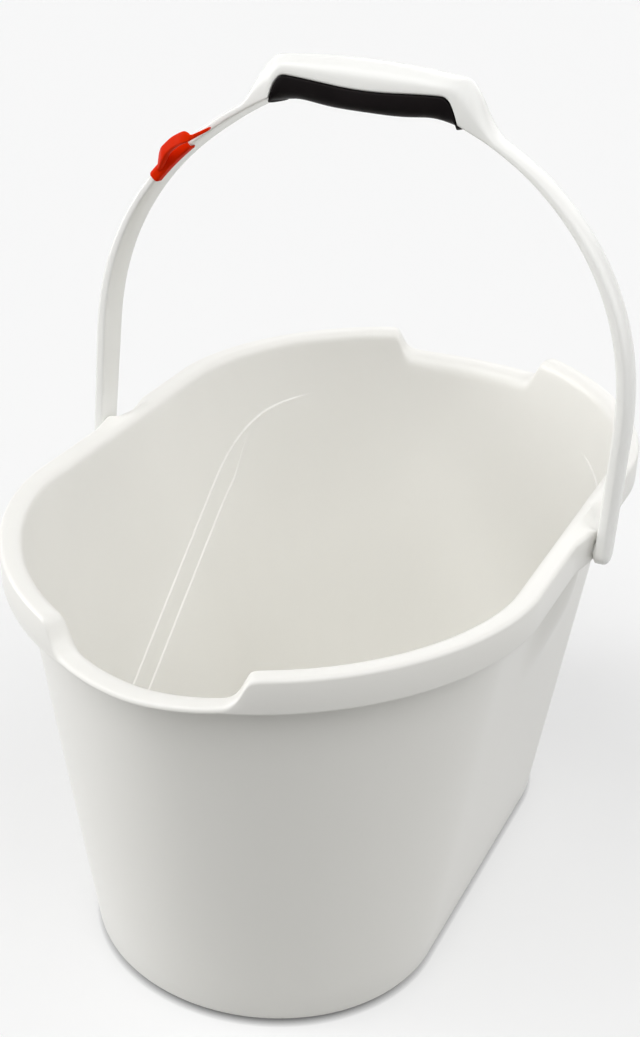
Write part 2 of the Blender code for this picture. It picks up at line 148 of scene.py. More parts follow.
def makeSkinGroup():                                    # moulded surface: mottle, flow marks, fine grain
    group = bpy.data.node_groups.new("mouldedSkin", "ShaderNodeTree")
    face = group.interface
    face.new_socket("Place", in_out="INPUT", socket_type="NodeSocketVector")
    for name in ("Tone", "Shade"):
        face.new_socket(name, in_out="INPUT", socket_type="NodeSocketColor")
    for name in ("Mottle size", "Flow size", "Grain size", "Smooth", "Rough"):
        face.new_socket(name, in_out="INPUT", socket_type="NodeSocketFloat")
    face.new_socket("Colour", in_out="OUTPUT", socket_type="NodeSocketColor")
    face.new_socket("Roughness", in_out="OUTPUT", socket_type="NodeSocketFloat")
    face.new_socket("Height", in_out="OUTPUT", socket_type="NodeSocketFloat")
    link = group.links.new
    given = addNode(group, "NodeGroupInput", (-900, 0))
    result = addNode(group, "NodeGroupOutput", (700, 0))

    mottle = addNode(group, "ShaderNodeTexNoise", (-500, 300))
    mottle.inputs["Detail"].default_value = 2.0
    link(given.outputs["Place"], mottle.inputs["Vector"])
    link(given.outputs["Mottle size"], mottle.inputs["Scale"])

    stretch = addNode(group, "ShaderNodeMapping", (-700, 60))
    stretch.inputs["Scale"].default_value = (1.0, 1.0, 0.12)   # drawn out along the flow
    flow = addNode(group, "ShaderNodeTexNoise", (-500, 60))
    flow.inputs["Detail"].default_value = 1.0
    link(given.outputs["Place"], stretch.inputs["Vector"])
    link(stretch.outputs["Vector"], flow.inputs["Vector"])
    link(given.outputs["Flow size"], flow.inputs["Scale"])

    grain = addNode(group, "ShaderNodeTexNoise", (-500, -200))
    grain.inputs["Detail"].default_value = 2.0
    link(given.outputs["Place"], grain.inputs["Vector"])
    link(given.outputs["Grain size"], grain.inputs["Scale"])
    link(grain.outputs["Fac"], result.inputs["Height"])

    both = addNode(group, "ShaderNodeMath", (-280, 220), operation="MULTIPLY_ADD")
    both.inputs[1].default_value = 0.25                 # flow marks are the fainter ones
    link(flow.outputs["Fac"], both.inputs[0])
    link(mottle.outputs["Fac"], both.inputs[2])
    toneShare = addNode(group, "ShaderNodeMapRange", (-80, 220))
    toneShare.inputs["From Min"].default_value = 0.45
    toneShare.inputs["From Max"].default_value = 0.80
    link(both.outputs["Value"], toneShare.inputs["Value"])
    colour = addNode(group, "ShaderNodeMix", (200, 220), data_type="RGBA")
    link(toneShare.outputs["Result"], colour.inputs["Factor"])
    link(given.outputs["Tone"], colour.inputs["A"])
    link(given.outputs["Shade"], colour.inputs["B"])
    link(colour.outputs["Result"], result.inputs["Colour"])

    sheen = addNode(group, "ShaderNodeMapRange", (200, -60))
    sheen.inputs["From Min"].default_value = 0.3
    sheen.inputs["From Max"].default_value = 0.7
    link(mottle.outputs["Fac"], sheen.inputs["Value"])
    link(given.outputs["Smooth"], sheen.inputs["To Min"])
    link(given.outputs["Rough"], sheen.inputs["To Max"])
    link(sheen.outputs["Result"], result.inputs["Roughness"])
    return group


skinGroup = makeSkinGroup()


def makeFinish(name, look):
    material = bpy.data.materials.new(name)
    material.use_nodes = True
    tree = material.node_tree
    shader = tree.nodes["Principled BSDF"]
    place = addNode(tree, "ShaderNodeTexCoord", (-900, 0))
    marks = addNode(tree, "ShaderNodeGroup", (-600, 0), node_tree=skinGroup)
    marks.inputs["Tone"].default_value = (*look["tone"], 1.0)
    marks.inputs["Shade"].default_value = (*look["shade"], 1.0)
    for socket, key in (("Mottle size", "mottleSize"), ("Flow size", "flowSize"), ("Grain size", "grainSize"),
                        ("Smooth", "smooth"), ("Rough", "rough")):
        marks.inputs[socket].default_value = look[key]
    bump = addNode(tree, "ShaderNodeBump", (-300, -200))
    bump.inputs["Strength"].default_value = look["bump"]
    bump.inputs["Distance"].default_value = look["bumpDepth"]
    tree.links.new(place.outputs["Object"], marks.inputs["Place"])
    tree.links.new(marks.outputs["Colour"], shader.inputs["Base Color"])
    tree.links.new(marks.outputs["Roughness"], shader.inputs["Roughness"])
    tree.links.new(marks.outputs["Height"], bump.inputs["Height"])
    tree.links.new(bump.outputs["Normal"], shader.inputs["Normal"])
    shader.inputs["IOR"].default_value = look["ior"]
    shader.inputs["Specular IOR Level"].default_value = look["shine"]
    return material


finishes = {
    "bucketWhite": makeFinish("bucketWhite", {
        "tone": (0.885, 0.876, 0.840), "shade": (0.876, 0.867, 0.830),
        "mottleSize": 7.0, "flowSize": 70.0, "grainSize": 1500.0, "bump": 0.02, "bumpDepth": 0.0003,
        "smooth": 0.285, "rough": 0.32, "shine": 0.40, "ior": 1.49}),
    "bailWhite": makeFinish("bailWhite", {
        "tone": (0.905, 0.905, 0.880), "shade": (0.896, 0.895, 0.869),
        "mottleSize": 14.0, "flowSize": 90.0, "grainSize": 1700.0, "bump": 0.02, "bumpDepth": 0.0003,
        "smooth": 0.22, "rough": 0.255, "shine": 0.40, "ior": 1.49}),
    "softBlack": makeFinish("softBlack", {
        "tone": (0.0036, 0.0024, 0.0026), "shade": (0.0060, 0.0044, 0.0046),
        "mottleSize": 40.0, "flowSize": 160.0, "grainSize": 2600.0, "bump": 0.30, "bumpDepth": 0.0003,
        "smooth": 0.40, "rough": 0.50, "shine": 0.06, "ior": 1.50}),
    "clipRed": makeFinish("clipRed", {
        "tone": (0.760, 0.026, 0.002), "shade": (0.700, 0.021, 0.0015),
        "mottleSize": 60.0, "flowSize": 200.0, "grainSize": 2200.0, "bump": 0.10, "bumpDepth": 0.0003,
        "smooth": 0.285, "rough": 0.36, "shine": 0.01, "ior": 1.49}),
}
print("finishes:", ", ".join(finishes))


# Bucket

bucket = {
    "height": 0.2385, "rimHalf": (0.136, 0.210), "rimPower": 1.8,     # outline of the rim
    "footHalf": (0.094, 0.162), "footPower": 2.0, "straightHalf": 0.075,
    "wall": 0.0025, "floor": 0.003, "footRound": 0.006,
    "footWidth": 0.010, "footRecess": 0.0013,                        # standing ring round the sunk panel
    "footGap": 0.0028, "edgeRound": 0.0030,                          # raised edge outside the ring
    "rimFlat": 0.011, "rimRound": 0.0022, "innerRound": 0.0054, "lipRound": 0.0084,
    "skirtDepth": 0.018, "lipEdge": 0.0032,
    "spoutWidth": 0.095, "spoutDrop": 0.014, "spoutDish": 0.0030,
    "hornRound": 0.0027, "spoutRound": 0.0042, "hornEase": 0.008,    # softness of a spout's corners, top and foot
    "notchWidth": 0.021, "notchDepth": 0.004, "notchEase": 0.013, "notchBack": 0.011,   # valley behind each pivot
    "earWidth": 0.024, "earEase": 0.024, "earProud": 0.0036,         # skirt stands out to meet the bail
    "bossWidth": 0.070, "bossDepth": 0.075, "bossFace": 0.1329, "bossGap": 0.0015,
    "ledgeDepth": 0.116, "ledgeSlope": 0.66, "ledgeTop": 0.2055, "ledgeTurn": 0.033, "ledgeLowest": 0.034,
    "ledgeStep": 0.0015, "ledgeProud": 0.0009, "ledgeBand": 0.017, "ledgeMeet": 0.118, "ledgeMerge": 0.028,
    "ledgeHalf": 0.152, "ledgeFade": 0.020, "ledgeRise": 0.0005, "ledgeRound": 0.0003,
    "pivotHeight": 0.2262, "holeRadius": 0.0043, "holeDepth": 0.0074, "holeTool": 0.02,
    "gateRadius": 0.007, "gateSink": 0.0005, "sharpAngle": 38,
    "stations": (22, 9, 26, 22, 12), "cornerReach": 2.6,             # valley, side, bend, spout corner and spout
}


def planPoint(place, halfWidth, halfLength, power):
    kind, value = place
    if kind == "side":
        return halfWidth, value
    straight = bucket["straightHalf"]
    across = halfWidth * max(0.0, math.cos(value)) ** (2 / power)
    return across, straight + (halfLength - straight) * math.sin(value) ** (2 / power)


def ledgeHeight(y):                                     # upper line of the slanting double ledge
    slanted = bucket["height"] - bucket["ledgeDepth"] + bucket["ledgeSlope"] * y
    under = bucket["ledgeTop"] - slanted
    capped = bucket["ledgeTop"] - (under + math.hypot(under, bucket["ledgeTurn"] / 2)) / 2
    return max(bucket["ledgeLowest"], capped)


def ledgeReach(y):                                      # how far each step stands in
    fade = bucket["ledgeFade"]
    return bucket["ledgeProud"] * soft((bucket["ledgeHalf"] + fade / 2 - abs(y)) / fade)


def spoutShare(across):                                 # 0 on the rim, 1 in a spout
    off = bucket["spoutWidth"] / 2 - across
    softness = mix(bucket["hornRound"], bucket["spoutRound"], soft(off / bucket["hornEase"] + 0.5))
    return (1 + math.tanh(off / softness)) / 2


def bucketStations():                                   # places once round the plan, closer at valleys and spouts
    valley = bucket["notchBack"] + (bucket["notchWidth"] + bucket["notchEase"]) / 2
    valleyCount, sideCount, *endCounts = bucket["stations"]
    quarter = [("side", valley * share) for share in steps(valleyCount)]
    quarter += [("side", mix(valley, bucket["straightHalf"], share)) for share in steps(sideCount)[1:]]
    halfWidth, power = bucket["rimHalf"][0], bucket["rimPower"]
    reaches = bucket["hornRound"] * bucket["cornerReach"], -bucket["spoutRound"] * bucket["cornerReach"]
    marks = [bucket["spoutWidth"] / 2 + reach for reach in reaches]
    turns = [0.0] + [math.acos((x / halfWidth) ** (power / 2)) for x in marks] + [math.pi / 2]
    for start, end, count in zip(turns, turns[1:], endCounts):
        quarter += [("end", mix(start, end, share)) for share in steps(count)[1:]]
    around = [(1, 1, place) for place in quarter]
    around += [(-1, 1, place) for place in reversed(quarter[:-1])]
    around += [(-1, -1, place) for place in quarter[1:]]
    around += [(1, -1, place) for place in reversed(quarter[1:-1])]
    stations = []
    for signX, signY, place in around:
        across, along = planPoint(place, *bucket["rimHalf"], power)
        y = signY * along
        spout = notch = ear = 0.0
        if place[0] == "end":
            spout = spoutShare(across)
        else:
            off = abs(y - bucket["notchBack"])
            notch = soft((bucket["notchWidth"] / 2 + bucket["notchEase"] / 2 - off) / bucket["notchEase"])
            reach = bucket["earWidth"] / 2 + bucket["earEase"] / 2 - along
            ear = bucket["earProud"] * soft(reach / bucket["earEase"])
        dish = bucket["spoutDish"] * (1 - min(1.0, 2 * across / bucket["spoutWidth"]) ** 2)
        crest = bucket["height"] - bucket["spoutDrop"] * spout - dish
        parting = soft((bucket["ledgeMeet"] - y) / bucket["ledgeMerge"])
        lower = ledgeHeight(y) - bucket["ledgeStep"] - mix(bucket["ledgeStep"], bucket["ledgeBand"], parting)
        stations.append({
            "signs": (signX, signY), "place": place, "spout": spout, "ear": ear,
            "crest": crest, "top": crest - bucket["notchDepth"] * notch,   # inner and outer edge of the rim
            "ledge": ledgeHeight(y), "lower": lower,
            "reach": ledgeReach(y), "fullReach": ledgeReach(y) * (1 + parting)})
    return stations


def rimPoint(station, inset, z, ear=0.0):
    halfWidth, halfLength = bucket["rimHalf"]
    x, y = planPoint(station["place"], halfWidth - inset, halfLength - inset, bucket["rimPower"])
    return station["signs"][0] * (x + ear * station["ear"]), station["signs"][1] * y, z


def bossTop():                                          # height at which the swelling is full, under the skirt
    return bucket["height"] - bucket["skirtDepth"] - bucket["bossGap"]


def bossSwell(station, z, x):                           # wall swells out to the skirt behind a pivot
    kind, along = station["place"]
    if kind != "side":
        return 0.0
    rise = soft((z - bossTop() + bucket["bossDepth"]) / bucket["bossDepth"])
    spread = soft(1.0 - along / (bucket["bossWidth"] / 2))
    return (bucket["bossFace"] - x) * rise * spread


def wallPoint(station, z, inset, boss=False):
    share = z / bucket["height"]
    lean = bucket["rimFlat"] - bucket["wall"]
    halves = [mix(foot, rim - lean, share) - inset for foot, rim in zip(bucket["footHalf"], bucket["rimHalf"])]
    x, y = planPoint(station["place"], *halves, mix(bucket["footPower"], bucket["rimPower"], share))
    if boss:
        x += bossSwell(station, z, x)
    return station["signs"][0] * x, station["signs"][1] * y, z


def bucketRings(stations):
    wall, floor, foot = bucket["wall"], bucket["floor"], bucket["footRound"]
    ringOf = lambda make: [make(station) for station in stations]
    rings = []

    # underside, out to the standing ring
    panel = foot + bucket["footWidth"]
    sunk, gap = bucket["footRecess"], bucket["footGap"]
    edge = ringOf(lambda s: wallPoint(s, 0.0, panel + sunk))
    for share in (0.03, 0.25, 0.5, 0.75, 1.0):
        rings.append([(x * share, y * share, sunk) for x, y, z in edge])
    for inset, z in (                                   # down to the floor, along it and up to the raised edge
            (panel + sunk * 0.3, sunk * 0.35), (panel - sunk * 0.4, 0.0), (foot + 0.0008, 0.0),
            (foot + 0.0002, gap * 0.25), (foot, gap * 0.8), (foot - 0.0004, gap), (bucket["edgeRound"], gap)):
        rings.append(ringOf(lambda s: wallPoint(s, 0.0, inset)[:2] + (z,)))
    for share in steps(5)[1:]:
        turn = share * math.pi / 2
        inset = bucket["edgeRound"] * (1 - math.sin(turn))
        z = gap + bucket["edgeRound"] * (1 - math.cos(turn))
        rings.append(ringOf(lambda s: wallPoint(s, z, inset)))

    # outer wall, with its swelling behind the pivots
    bossLow = bossTop() - bucket["bossDepth"]
    for share in steps(7)[1:]:
        rings.append(ringOf(lambda s: wallPoint(s, mix(gap + bucket["edgeRound"], bossLow, share), 0.0)))
    for share in steps(14)[1:]:
        rings.append(ringOf(lambda s: wallPoint(s, mix(bossLow, bossTop(), share), 0.0, True)))
    rings.append(ringOf(lambda s: wallPoint(s, s["top"] - wall, 0.0, True)))

    # skirt: down its back, round its lower edge, up its face
    hem = wall / 2
    low = lambda s: min(bucket["height"] - bucket["skirtDepth"], s["crest"] - bucket["lipEdge"])
    rings.append(ringOf(lambda s: rimPoint(s, wall, s["top"] - wall)))
    for share in steps(6):
        turn = math.pi * share
        rings.append(ringOf(lambda s: rimPoint(
            s, hem * (1 + math.cos(turn)), low(s) + hem * (1 - math.sin(turn)), (1 - math.cos(turn)) / 2)))

    # rim: outer round, flat top, inner round
    outer = bucket["rimRound"]
    outerOf = lambda s: min(outer, (s["top"] - low(s) - hem) * 0.95)
    for share in steps(5):
        turn = share * math.pi / 2
        rings.append(ringOf(lambda s: rimPoint(
            s, outerOf(s) * (1 - math.cos(turn)), s["top"] - outerOf(s) * (1 - math.sin(turn)), 1.0)))
    inner = lambda s: mix(bucket["innerRound"], bucket["lipRound"], s["spout"])
    brow = lambda s: wallPoint(s, s["crest"], wall - inner(s))
    for share in (0.25, 0.5, 0.75):
        rings.append(ringOf(lambda s: tuple(
            mix(a, b, share) for a, b in zip(rimPoint(s, outerOf(s), s["top"], 1.0), brow(s)))))
    for share in steps(6):
        rings.append(ringOf(lambda s: bow(
            brow(s), wallPoint(s, s["crest"], wall), wallPoint(s, s["crest"] - inner(s), wall), share)))

    # inner wall down over the two steps of the ledge and on to the floor
    small, rise = bucket["ledgeRound"], bucket["ledgeRise"]

    def stepDown(height, before, after):                # concave round, slope, convex round
        for share in steps(3):
            rings.append(ringOf(lambda s: wallPoint(s, *bow(
                (s[height] + small, before(s)), (s[height], before(s)),
                (s[height] - rise * 0.35, mix(before(s), after(s), 0.35)), share))))
        for share in steps(3):
            rings.append(ringOf(lambda s: wallPoint(s, *bow(
                (s[height] - rise * 0.65, mix(before(s), after(s), 0.65)), (s[height] - rise, after(s)),
                (s[height] - rise - small, after(s)), share))))

    plain = lambda s: wall
    stepped = lambda s: wall + s["reach"]
    full = lambda s: wall + s["fullReach"]
    for share in steps(8)[1:-1]:
        rings.append(ringOf(lambda s: wallPoint(s, mix(s["crest"] - inner(s), s["ledge"] + small, share), wall)))
    stepDown("ledge", plain, stepped)
    between = lambda s: mix(s["ledge"] - rise - small, s["lower"] + small, 0.5)
    rings.append(ringOf(lambda s: wallPoint(s, between(s), stepped(s))))
    stepDown("lower", stepped, full)
    for share in steps(8)[1:-1]:
        rings.append(ringOf(lambda s: wallPoint(s, mix(s["lower"] - rise - small, floor + foot, share), full(s))))
    for share in steps(6):
        rings.append(ringOf(lambda s: wallPoint(s, *bow(
            (floor + foot, full(s)), (floor, full(s)), (floor, full(s) + foot), share))))
    edge = rings[-1]
    for share in (0.8, 0.55, 0.3):
        rings.append([(x * share, y * share, floor) for x, y, z in edge])
    for radius, z in ((1.15, 0.0), (1.0, 0.3), (0.85, 1.0)):         # sunk mark of the moulding gate
        size = bucket["gateRadius"] * radius
        depth = floor - bucket["gateSink"] * z
        rings.append([(size * x / math.hypot(x, y), size * y / math.hypot(x, y), depth) for x, y, _ in edge])
    return rings


def makeBucket():
    item = looseObject("bucketShell", skin(bucketRings(bucketStations())))
    radius, length = bucket["holeRadius"], bucket["holeTool"]
    for side in (1, -1):                                # holes for the pivot studs
        bm = bmesh.new()
        bmesh.ops.create_cone(bm, cap_ends=True, segments=40, radius1=radius, radius2=radius, depth=length)
        bmesh.ops.rotate(bm, cent=(0, 0, 0), matrix=Matrix.Rotation(math.pi / 2, 3, "Y"), verts=bm.verts)
        centre = side * (bucket["rimHalf"][0] - bucket["holeDepth"] + length / 2)
        bmesh.ops.translate(bm, vec=(centre, 0, bucket["pivotHeight"]), verts=bm.verts)
        carve(item, looseObject("studHole", bm), "DIFFERENCE")
    return finishPiece(item, finishes["bucketWhite"], "bucket", "bucket_body", bucket["sharpAngle"])


makeBucket()


# Bail: built upright over its pivot line, then leaned back

bail = {
    "pivotHeight": 0.2262, "lean": 8.0, "armInner": 0.141, "armRise": 0.059,
    "armEnd": 0.0065, "armEndWidth": 0.0155, "endTaper": 0.985, "endCrown": 0.7,     # rounded lower end of an arm
    "width": 0.018, "thick": 0.0072, "thin": 0.0043, "edgeShare": 0.53, "cornerRound": 0.0012,
    "shoulderRise": 0.158, "shoulderRun": 0.220, "shoulderPower": 2.23,
    "gripLength": 0.136, "gripFlank": 0.020, "gripRise": 0.0335, "gripArch": 0.0055,
    "gripShift": 0.003, "shiftStart": 0.172, "shiftRun": 0.030,      # grip pulled over to the clip's side
    "gripWidth": 0.025, "gripThick": 0.0116, "gripEdgeShare": 0.30, "gripSag": 0.0024, "sagMargin": 0.004,
    "pocketLength": 0.099, "pocketFlank": 0.009, "flankPower": 2.2,
    "studRadius": 0.004, "studTip": 0.1289, "studBevel": 0.0008, "studRoot": 0.002,
    "collarRadius": 0.0058, "collarStart": 0.1401, "collarBevel": 0.0006, "sharpAngle": 40,
}
shoulderCentre = bail["armInner"] - bail["shoulderRun"]


def onBail(x, across, h):                               # bail's own plane to the row frame
    lean = math.radians(bail["lean"])
    y = across * math.cos(lean) + h * math.sin(lean)
    x -= bail["gripShift"] * soft((h - bail["shiftStart"]) / bail["shiftRun"])
    return x, y, bail["pivotHeight"] + h * math.cos(lean) - across * math.sin(lean)


def shoulderHeight(x):
    share = max(0.0, min(1.0, (x - shoulderCentre) / bail["shoulderRun"]))
    power = bail["shoulderPower"]
    return bail["armRise"] + bail["shoulderRise"] * (1.0 - share ** power) ** (1 / power)


def shoulderNormal(x, h):
    power = bail["shoulderPower"]
    outward = ((x - shoulderCentre) / bail["shoulderRun"]) ** (power - 1) / bail["shoulderRun"]
    rising = ((h - bail["armRise"]) / bail["shoulderRise"]) ** (power - 1) / bail["shoulderRise"]
    return math.atan2(rising, outward)


def shoulderTurn(x):
    return math.acos(((x - shoulderCentre) / bail["shoulderRun"]) ** (bail["shoulderPower"] / 2))


def shoulderPoint(turn):
    power = bail["shoulderPower"]
    x = shoulderCentre + bail["shoulderRun"] * math.cos(turn) ** (2 / power)
    h = bail["armRise"] + bail["shoulderRise"] * math.sin(turn) ** (2 / power)
    return x, h, shoulderNormal(x, h)


def strapThick(turn):
    return mix(bail["thick"], bail["thin"], turn / shoulderTurn(bail["gripLength"] / 2))


def gripTop():
    return shoulderHeight(bail["gripLength"] / 2) + bail["gripRise"]


def pocketRoof():
    return gripTop() - bail["gripThick"]


def gripShare(x):
    start, full = bail["gripLength"] / 2, bail["pocketLength"] / 2 - bail["pocketFlank"]
    return min(1.0, max(0.0, (start - x) / (start - full)))


def gripWidth(x):
    return mix(bail["width"], bail["gripWidth"], soft(gripShare(x)))


def underside(x):                                       # strap's inner face, then the sagging roof of the pocket
    reach = bail["pocketLength"] / 2
    sag = bail["gripSag"] * math.cos(math.pi / 2 * min(1.0, x / (reach - bail["sagMargin"]))) ** 2
    climb = max(0.0, min(1.0, (reach - x) / bail["pocketFlank"]))
    return mix(shoulderHeight(x), pocketRoof() - sag, 1 - (1 - climb) ** bail["flankPower"])


def topside(x):
    inner = shoulderHeight(x)
    strap = inner + bail["thin"] / math.sin(shoulderNormal(x, inner))
    crown = gripTop() - bail["gripArch"] * (2.0 * x / bail["gripLength"]) ** 2
    return mix(strap, crown, soft((bail["gripLength"] / 2 - x) / bail["gripFlank"]))


def strapSection(inner, outer, width, edgeShare, crownShare=1.0):
    half, thick = width / 2, math.dist(inner, outer)
    edge = thick * edgeShare
    crown = (thick - edge) * crownShare
    small = min(bail["cornerRound"], half * 0.6, edge * 0.45)
    outline = [(0.0, 0.0)]
    for share in steps(4):                              # corner of the flat inner face
        turn = share * math.pi / 2
        outline.append((small * (1 - math.cos(turn)), half - small * (1 - math.sin(turn))))
    for share in steps(18):                             # crowned outer face, edge to edge
        turn = share * math.pi
        outline.append((edge + crown * math.sin(turn), half * math.cos(turn)))
    for share in reversed(steps(4)):
        turn = share * math.pi / 2
        outline.append((small * (1 - math.cos(turn)), small * (1 - math.sin(turn)) - half))
    run, rise = (outer[0] - inner[0]) / thick, (outer[1] - inner[1]) / thick
    return [(inner[0] + out * run, side, inner[1] + out * rise) for out, side in outline]


def halfBail():
    sections = []
    armOut = bail["armInner"] + bail["thick"]
    for share in steps(9)[:-1]:                         # round lower end, its crown running out
        turn = math.pi / 2 * (1 - share) * bail["endTaper"]
        h, width = -bail["armEnd"] * math.sin(turn), bail["armEndWidth"] * math.cos(turn)
        crown = math.cos(turn) ** bail["endCrown"]
        sections.append(((bail["armInner"], h), (armOut, h), width, bail["edgeShare"], crown))
    for share in steps(6):
        h, width = bail["armRise"] * share, mix(bail["armEndWidth"], bail["width"], share)
        sections.append(((bail["armInner"], h), (armOut, h), width, bail["edgeShare"]))
    last = shoulderTurn(bail["gripLength"] / 2)
    for share in steps(34)[1:-1]:
        x, h, normal = shoulderPoint(last * share)
        thick = strapThick(last * share)
        outer = (x + thick * math.cos(normal), h + thick * math.sin(normal))
        sections.append(((x, h), outer, bail["width"], bail["edgeShare"]))
    tilt = bail["thin"] * math.cos(shoulderPoint(last)[2])
    pocket, flank = bail["pocketLength"] / 2, bail["pocketLength"] / 2 - bail["pocketFlank"]
    places = [mix(bail["gripLength"] / 2, pocket, share) for share in steps(16)]
    places += [mix(pocket, flank, share) for share in steps(14)[1:]]
    places += [mix(flank, 0.0, share) for share in steps(14)[1:]]
    for place in places:
        share = gripShare(place)
        top = place + tilt * (1.0 - share)
        edgeShare = mix(bail["edgeShare"], bail["gripEdgeShare"], share)
        sections.append(((place, underside(place)), (top, topside(top)), gripWidth(place), edgeShare))
    return sections


def mirrored(section):
    (innerX, innerH), (outerX, outerH), *rest = section
    return (-innerX, innerH), (-outerX, outerH), *rest


def leaned(ring):
    return [onBail(*point) for point in ring]


def studTool(side):                                     # pivot stud with its collar
    tip, radius, bevel = bail["studTip"], bail["studRadius"], bail["studBevel"]
    collar, wide, edge = bail["collarStart"], bail["collarRadius"], bail["collarBevel"]
    profile = [(tip, radius - bevel), (tip + bevel, radius), (collar, radius), (collar, wide - edge),
               (collar + edge, wide), (bail["armInner"] + bail["studRoot"], wide)]
    turns = [share * math.tau for share in steps(36)[:-1]]
    rings = [[(side * x, size * math.cos(turn), size * math.sin(turn)) for turn in turns] for x, size in profile]
    return looseObject("pivotStud", skin([leaned(ring) for ring in rings]))


def makeBail():
    right = halfBail()
    sections = right + [mirrored(section) for section in reversed(right[:-1])]
    item = looseObject("bailStrap", skin([leaned(strapSection(*section)) for section in sections]))
    for side in (1, -1):
        carve(item, studTool(side), "UNION")
    return finishPiece(item, finishes["bailWhite"], "handle", "bail", bail["sharpAngle"])


makeBail()


# Grip pad, seated in the pocket

pad = {
    "thick": 0.0129, "recess": 0.0018, "tip": 0.0018, "power": 3.0, "gap": 0.0003,
    "bead": 0.0009, "beadMost": 0.45, "proud": 0.0003,  # rounded upper edge, a little proud of the grip
    "sharpAngle": 50,
}


def padSection(side, place):
    x = side * max(0.0, place - pad["gap"])
    top = underside(place) - pad["gap"]
    lowest = pocketRoof() - pad["gap"] - pad["thick"]   # belly keeps its own line under the sagging roof
    along = min(1.0, 2.0 * place / bail["pocketLength"])
    wave = (1.0 - math.cos(2.0 * math.pi * along * along)) / 2.0
    depth = top - min(top - pad["tip"], lowest + pad["recess"] * wave)
    half = gripWidth(place) / 2 + pad["proud"]
    bead = min(pad["bead"], depth * pad["beadMost"])
    corner = [(half - bead * (1 - math.sin(turn * math.pi / 2)), bead * (1 - math.cos(turn * math.pi / 2)))
              for turn in steps(4)]
    belly = []
    for share in steps(20)[1:-1]:
        turn = share * math.pi
        across = math.copysign(abs(math.cos(turn)) ** (2 / pad["power"]), math.cos(turn))
        belly.append((half * across, bead + (depth - bead) * math.sin(turn) ** (2 / pad["power"])))
    farCorner = [(-across, drop) for across, drop in reversed(corner)]
    return [(x, across, top - drop) for across, drop in corner + belly + farCorner]


def makePad():
    pocket, flank = bail["pocketLength"] / 2, bail["pocketLength"] / 2 - bail["pocketFlank"]
    right = [mix(pocket, flank, share) for share in steps(16)]
    right += [mix(flank, 0.0, share) for share in steps(16)[1:]]
    rings = [padSection(1, place) for place in right]
    rings += [padSection(-1, place) for place in reversed(right[:-1])]
    item = looseObject("gripPad", skin([leaned(ring) for ring in rings]))
    return finishPiece(item, finishes["softBlack"], "handle", "grip_pad", pad["sharpAngle"])


makePad()


# Clip on the left shoulder

clip = {
    "gap": 0.0002, "wall": 0.0009, "start": 0.1140, "end": 0.0948, "endTrim": 0.0005, "endSoft": 0.02,
    "crownFrom": 9, "flange": 0.45,                     # first point of the section, and its reach under the strap
    "hookAt": (-0.0835, -0.0203), "lugRadius": 0.0097,  # middle of the hook's round, and its radius
    "lugStart": (                                       # along, across, lower and upper edge, thickness
        (-0.1120, -0.0102, 0.1496, 0.1520, 0.0016), (-0.1104, -0.0110, 0.1506, 0.1594, 0.0024),
        (-0.1085, -0.0126, 0.1526, 0.1622, 0.0030), (-0.1060, -0.0152, 0.1556, 0.1643, 0.0032),
        (-0.1020, -0.0182, 0.1602, 0.1673, 0.0030), (-0.0980, -0.0214, 0.1631, 0.1699, 0.0027),
        (-0.0940, -0.0244, 0.1655, 0.1720, 0.0024)),
    "lugHook": (                                        # turn round the hook's middle, then the same
        (-128.0, 0.1678, 0.1740, 0.0022), (-111.0, 0.1688, 0.1748, 0.0021), (-98.0, 0.1698, 0.1744, 0.0021),
        (-87.0, 0.1709, 0.1737, 0.0020), (-59.0, 0.1740, 0.1760, 0.0018), (-27.0, 0.1769, 0.1784, 0.0014)),
    "lugCorner": 0.0013, "cornerMost": 0.9, "lugTip": 0.30, "lugEnds": (0.05, 0.03), "aimStep": 0.004,
    "sharpAngle": 40,
}


def sleeveLoop(turn, gap, trim):                        # loop round the strap, a gap away from it
    x, h, normal = shoulderPoint(turn)
    out = strapThick(turn) + gap - trim
    inner = (x - (gap - trim) * math.cos(normal), h - (gap - trim) * math.sin(normal))
    outer = (x + out * math.cos(normal), h + out * math.sin(normal))
    section = mirrored((inner, outer, bail["width"] + 2.0 * (gap - trim), bail["edgeShare"]))
    return leaned(strapSection(*section))


def coverSection(turn, trim):                           # over the crown, down the near side and under the near half
    sides = []
    for gap, cut in ((clip["gap"] + clip["wall"], trim), (clip["gap"], 0.0)):
        loop = sleeveLoop(turn, gap, cut)
        lip = tuple(mix(a, b, clip["flange"]) for a, b in zip(loop[-1], loop[0]))
        sides.append(loop[clip["crownFrom"]:] + [lip])
    return sides[0] + list(reversed(sides[1]))


def through(points, share):                             # smooth curve through a row of points
    place = share * (len(points) - 1)
    index = min(int(place), len(points) - 2)
    t = place - index
    last = len(points) - 1
    before, start, end, after = (points[min(max(index + k, 0), last)] for k in (-1, 0, 1, 2))
    return [0.5 * (2 * b + (c - a) * t + (2 * a - 5 * b + 4 * c - d) * t * t + (3 * b - a - 3 * c + d) * t ** 3)
            for a, b, c, d in zip(before, start, end, after)]


def lugPath():
    path = list(clip["lugStart"])
    (x, across), radius = clip["hookAt"], clip["lugRadius"]
    for degrees, *edges in clip["lugHook"]:
        turn = math.radians(degrees)
        path.append((x + radius * math.cos(turn), across + radius * math.sin(turn), *edges))
    return path


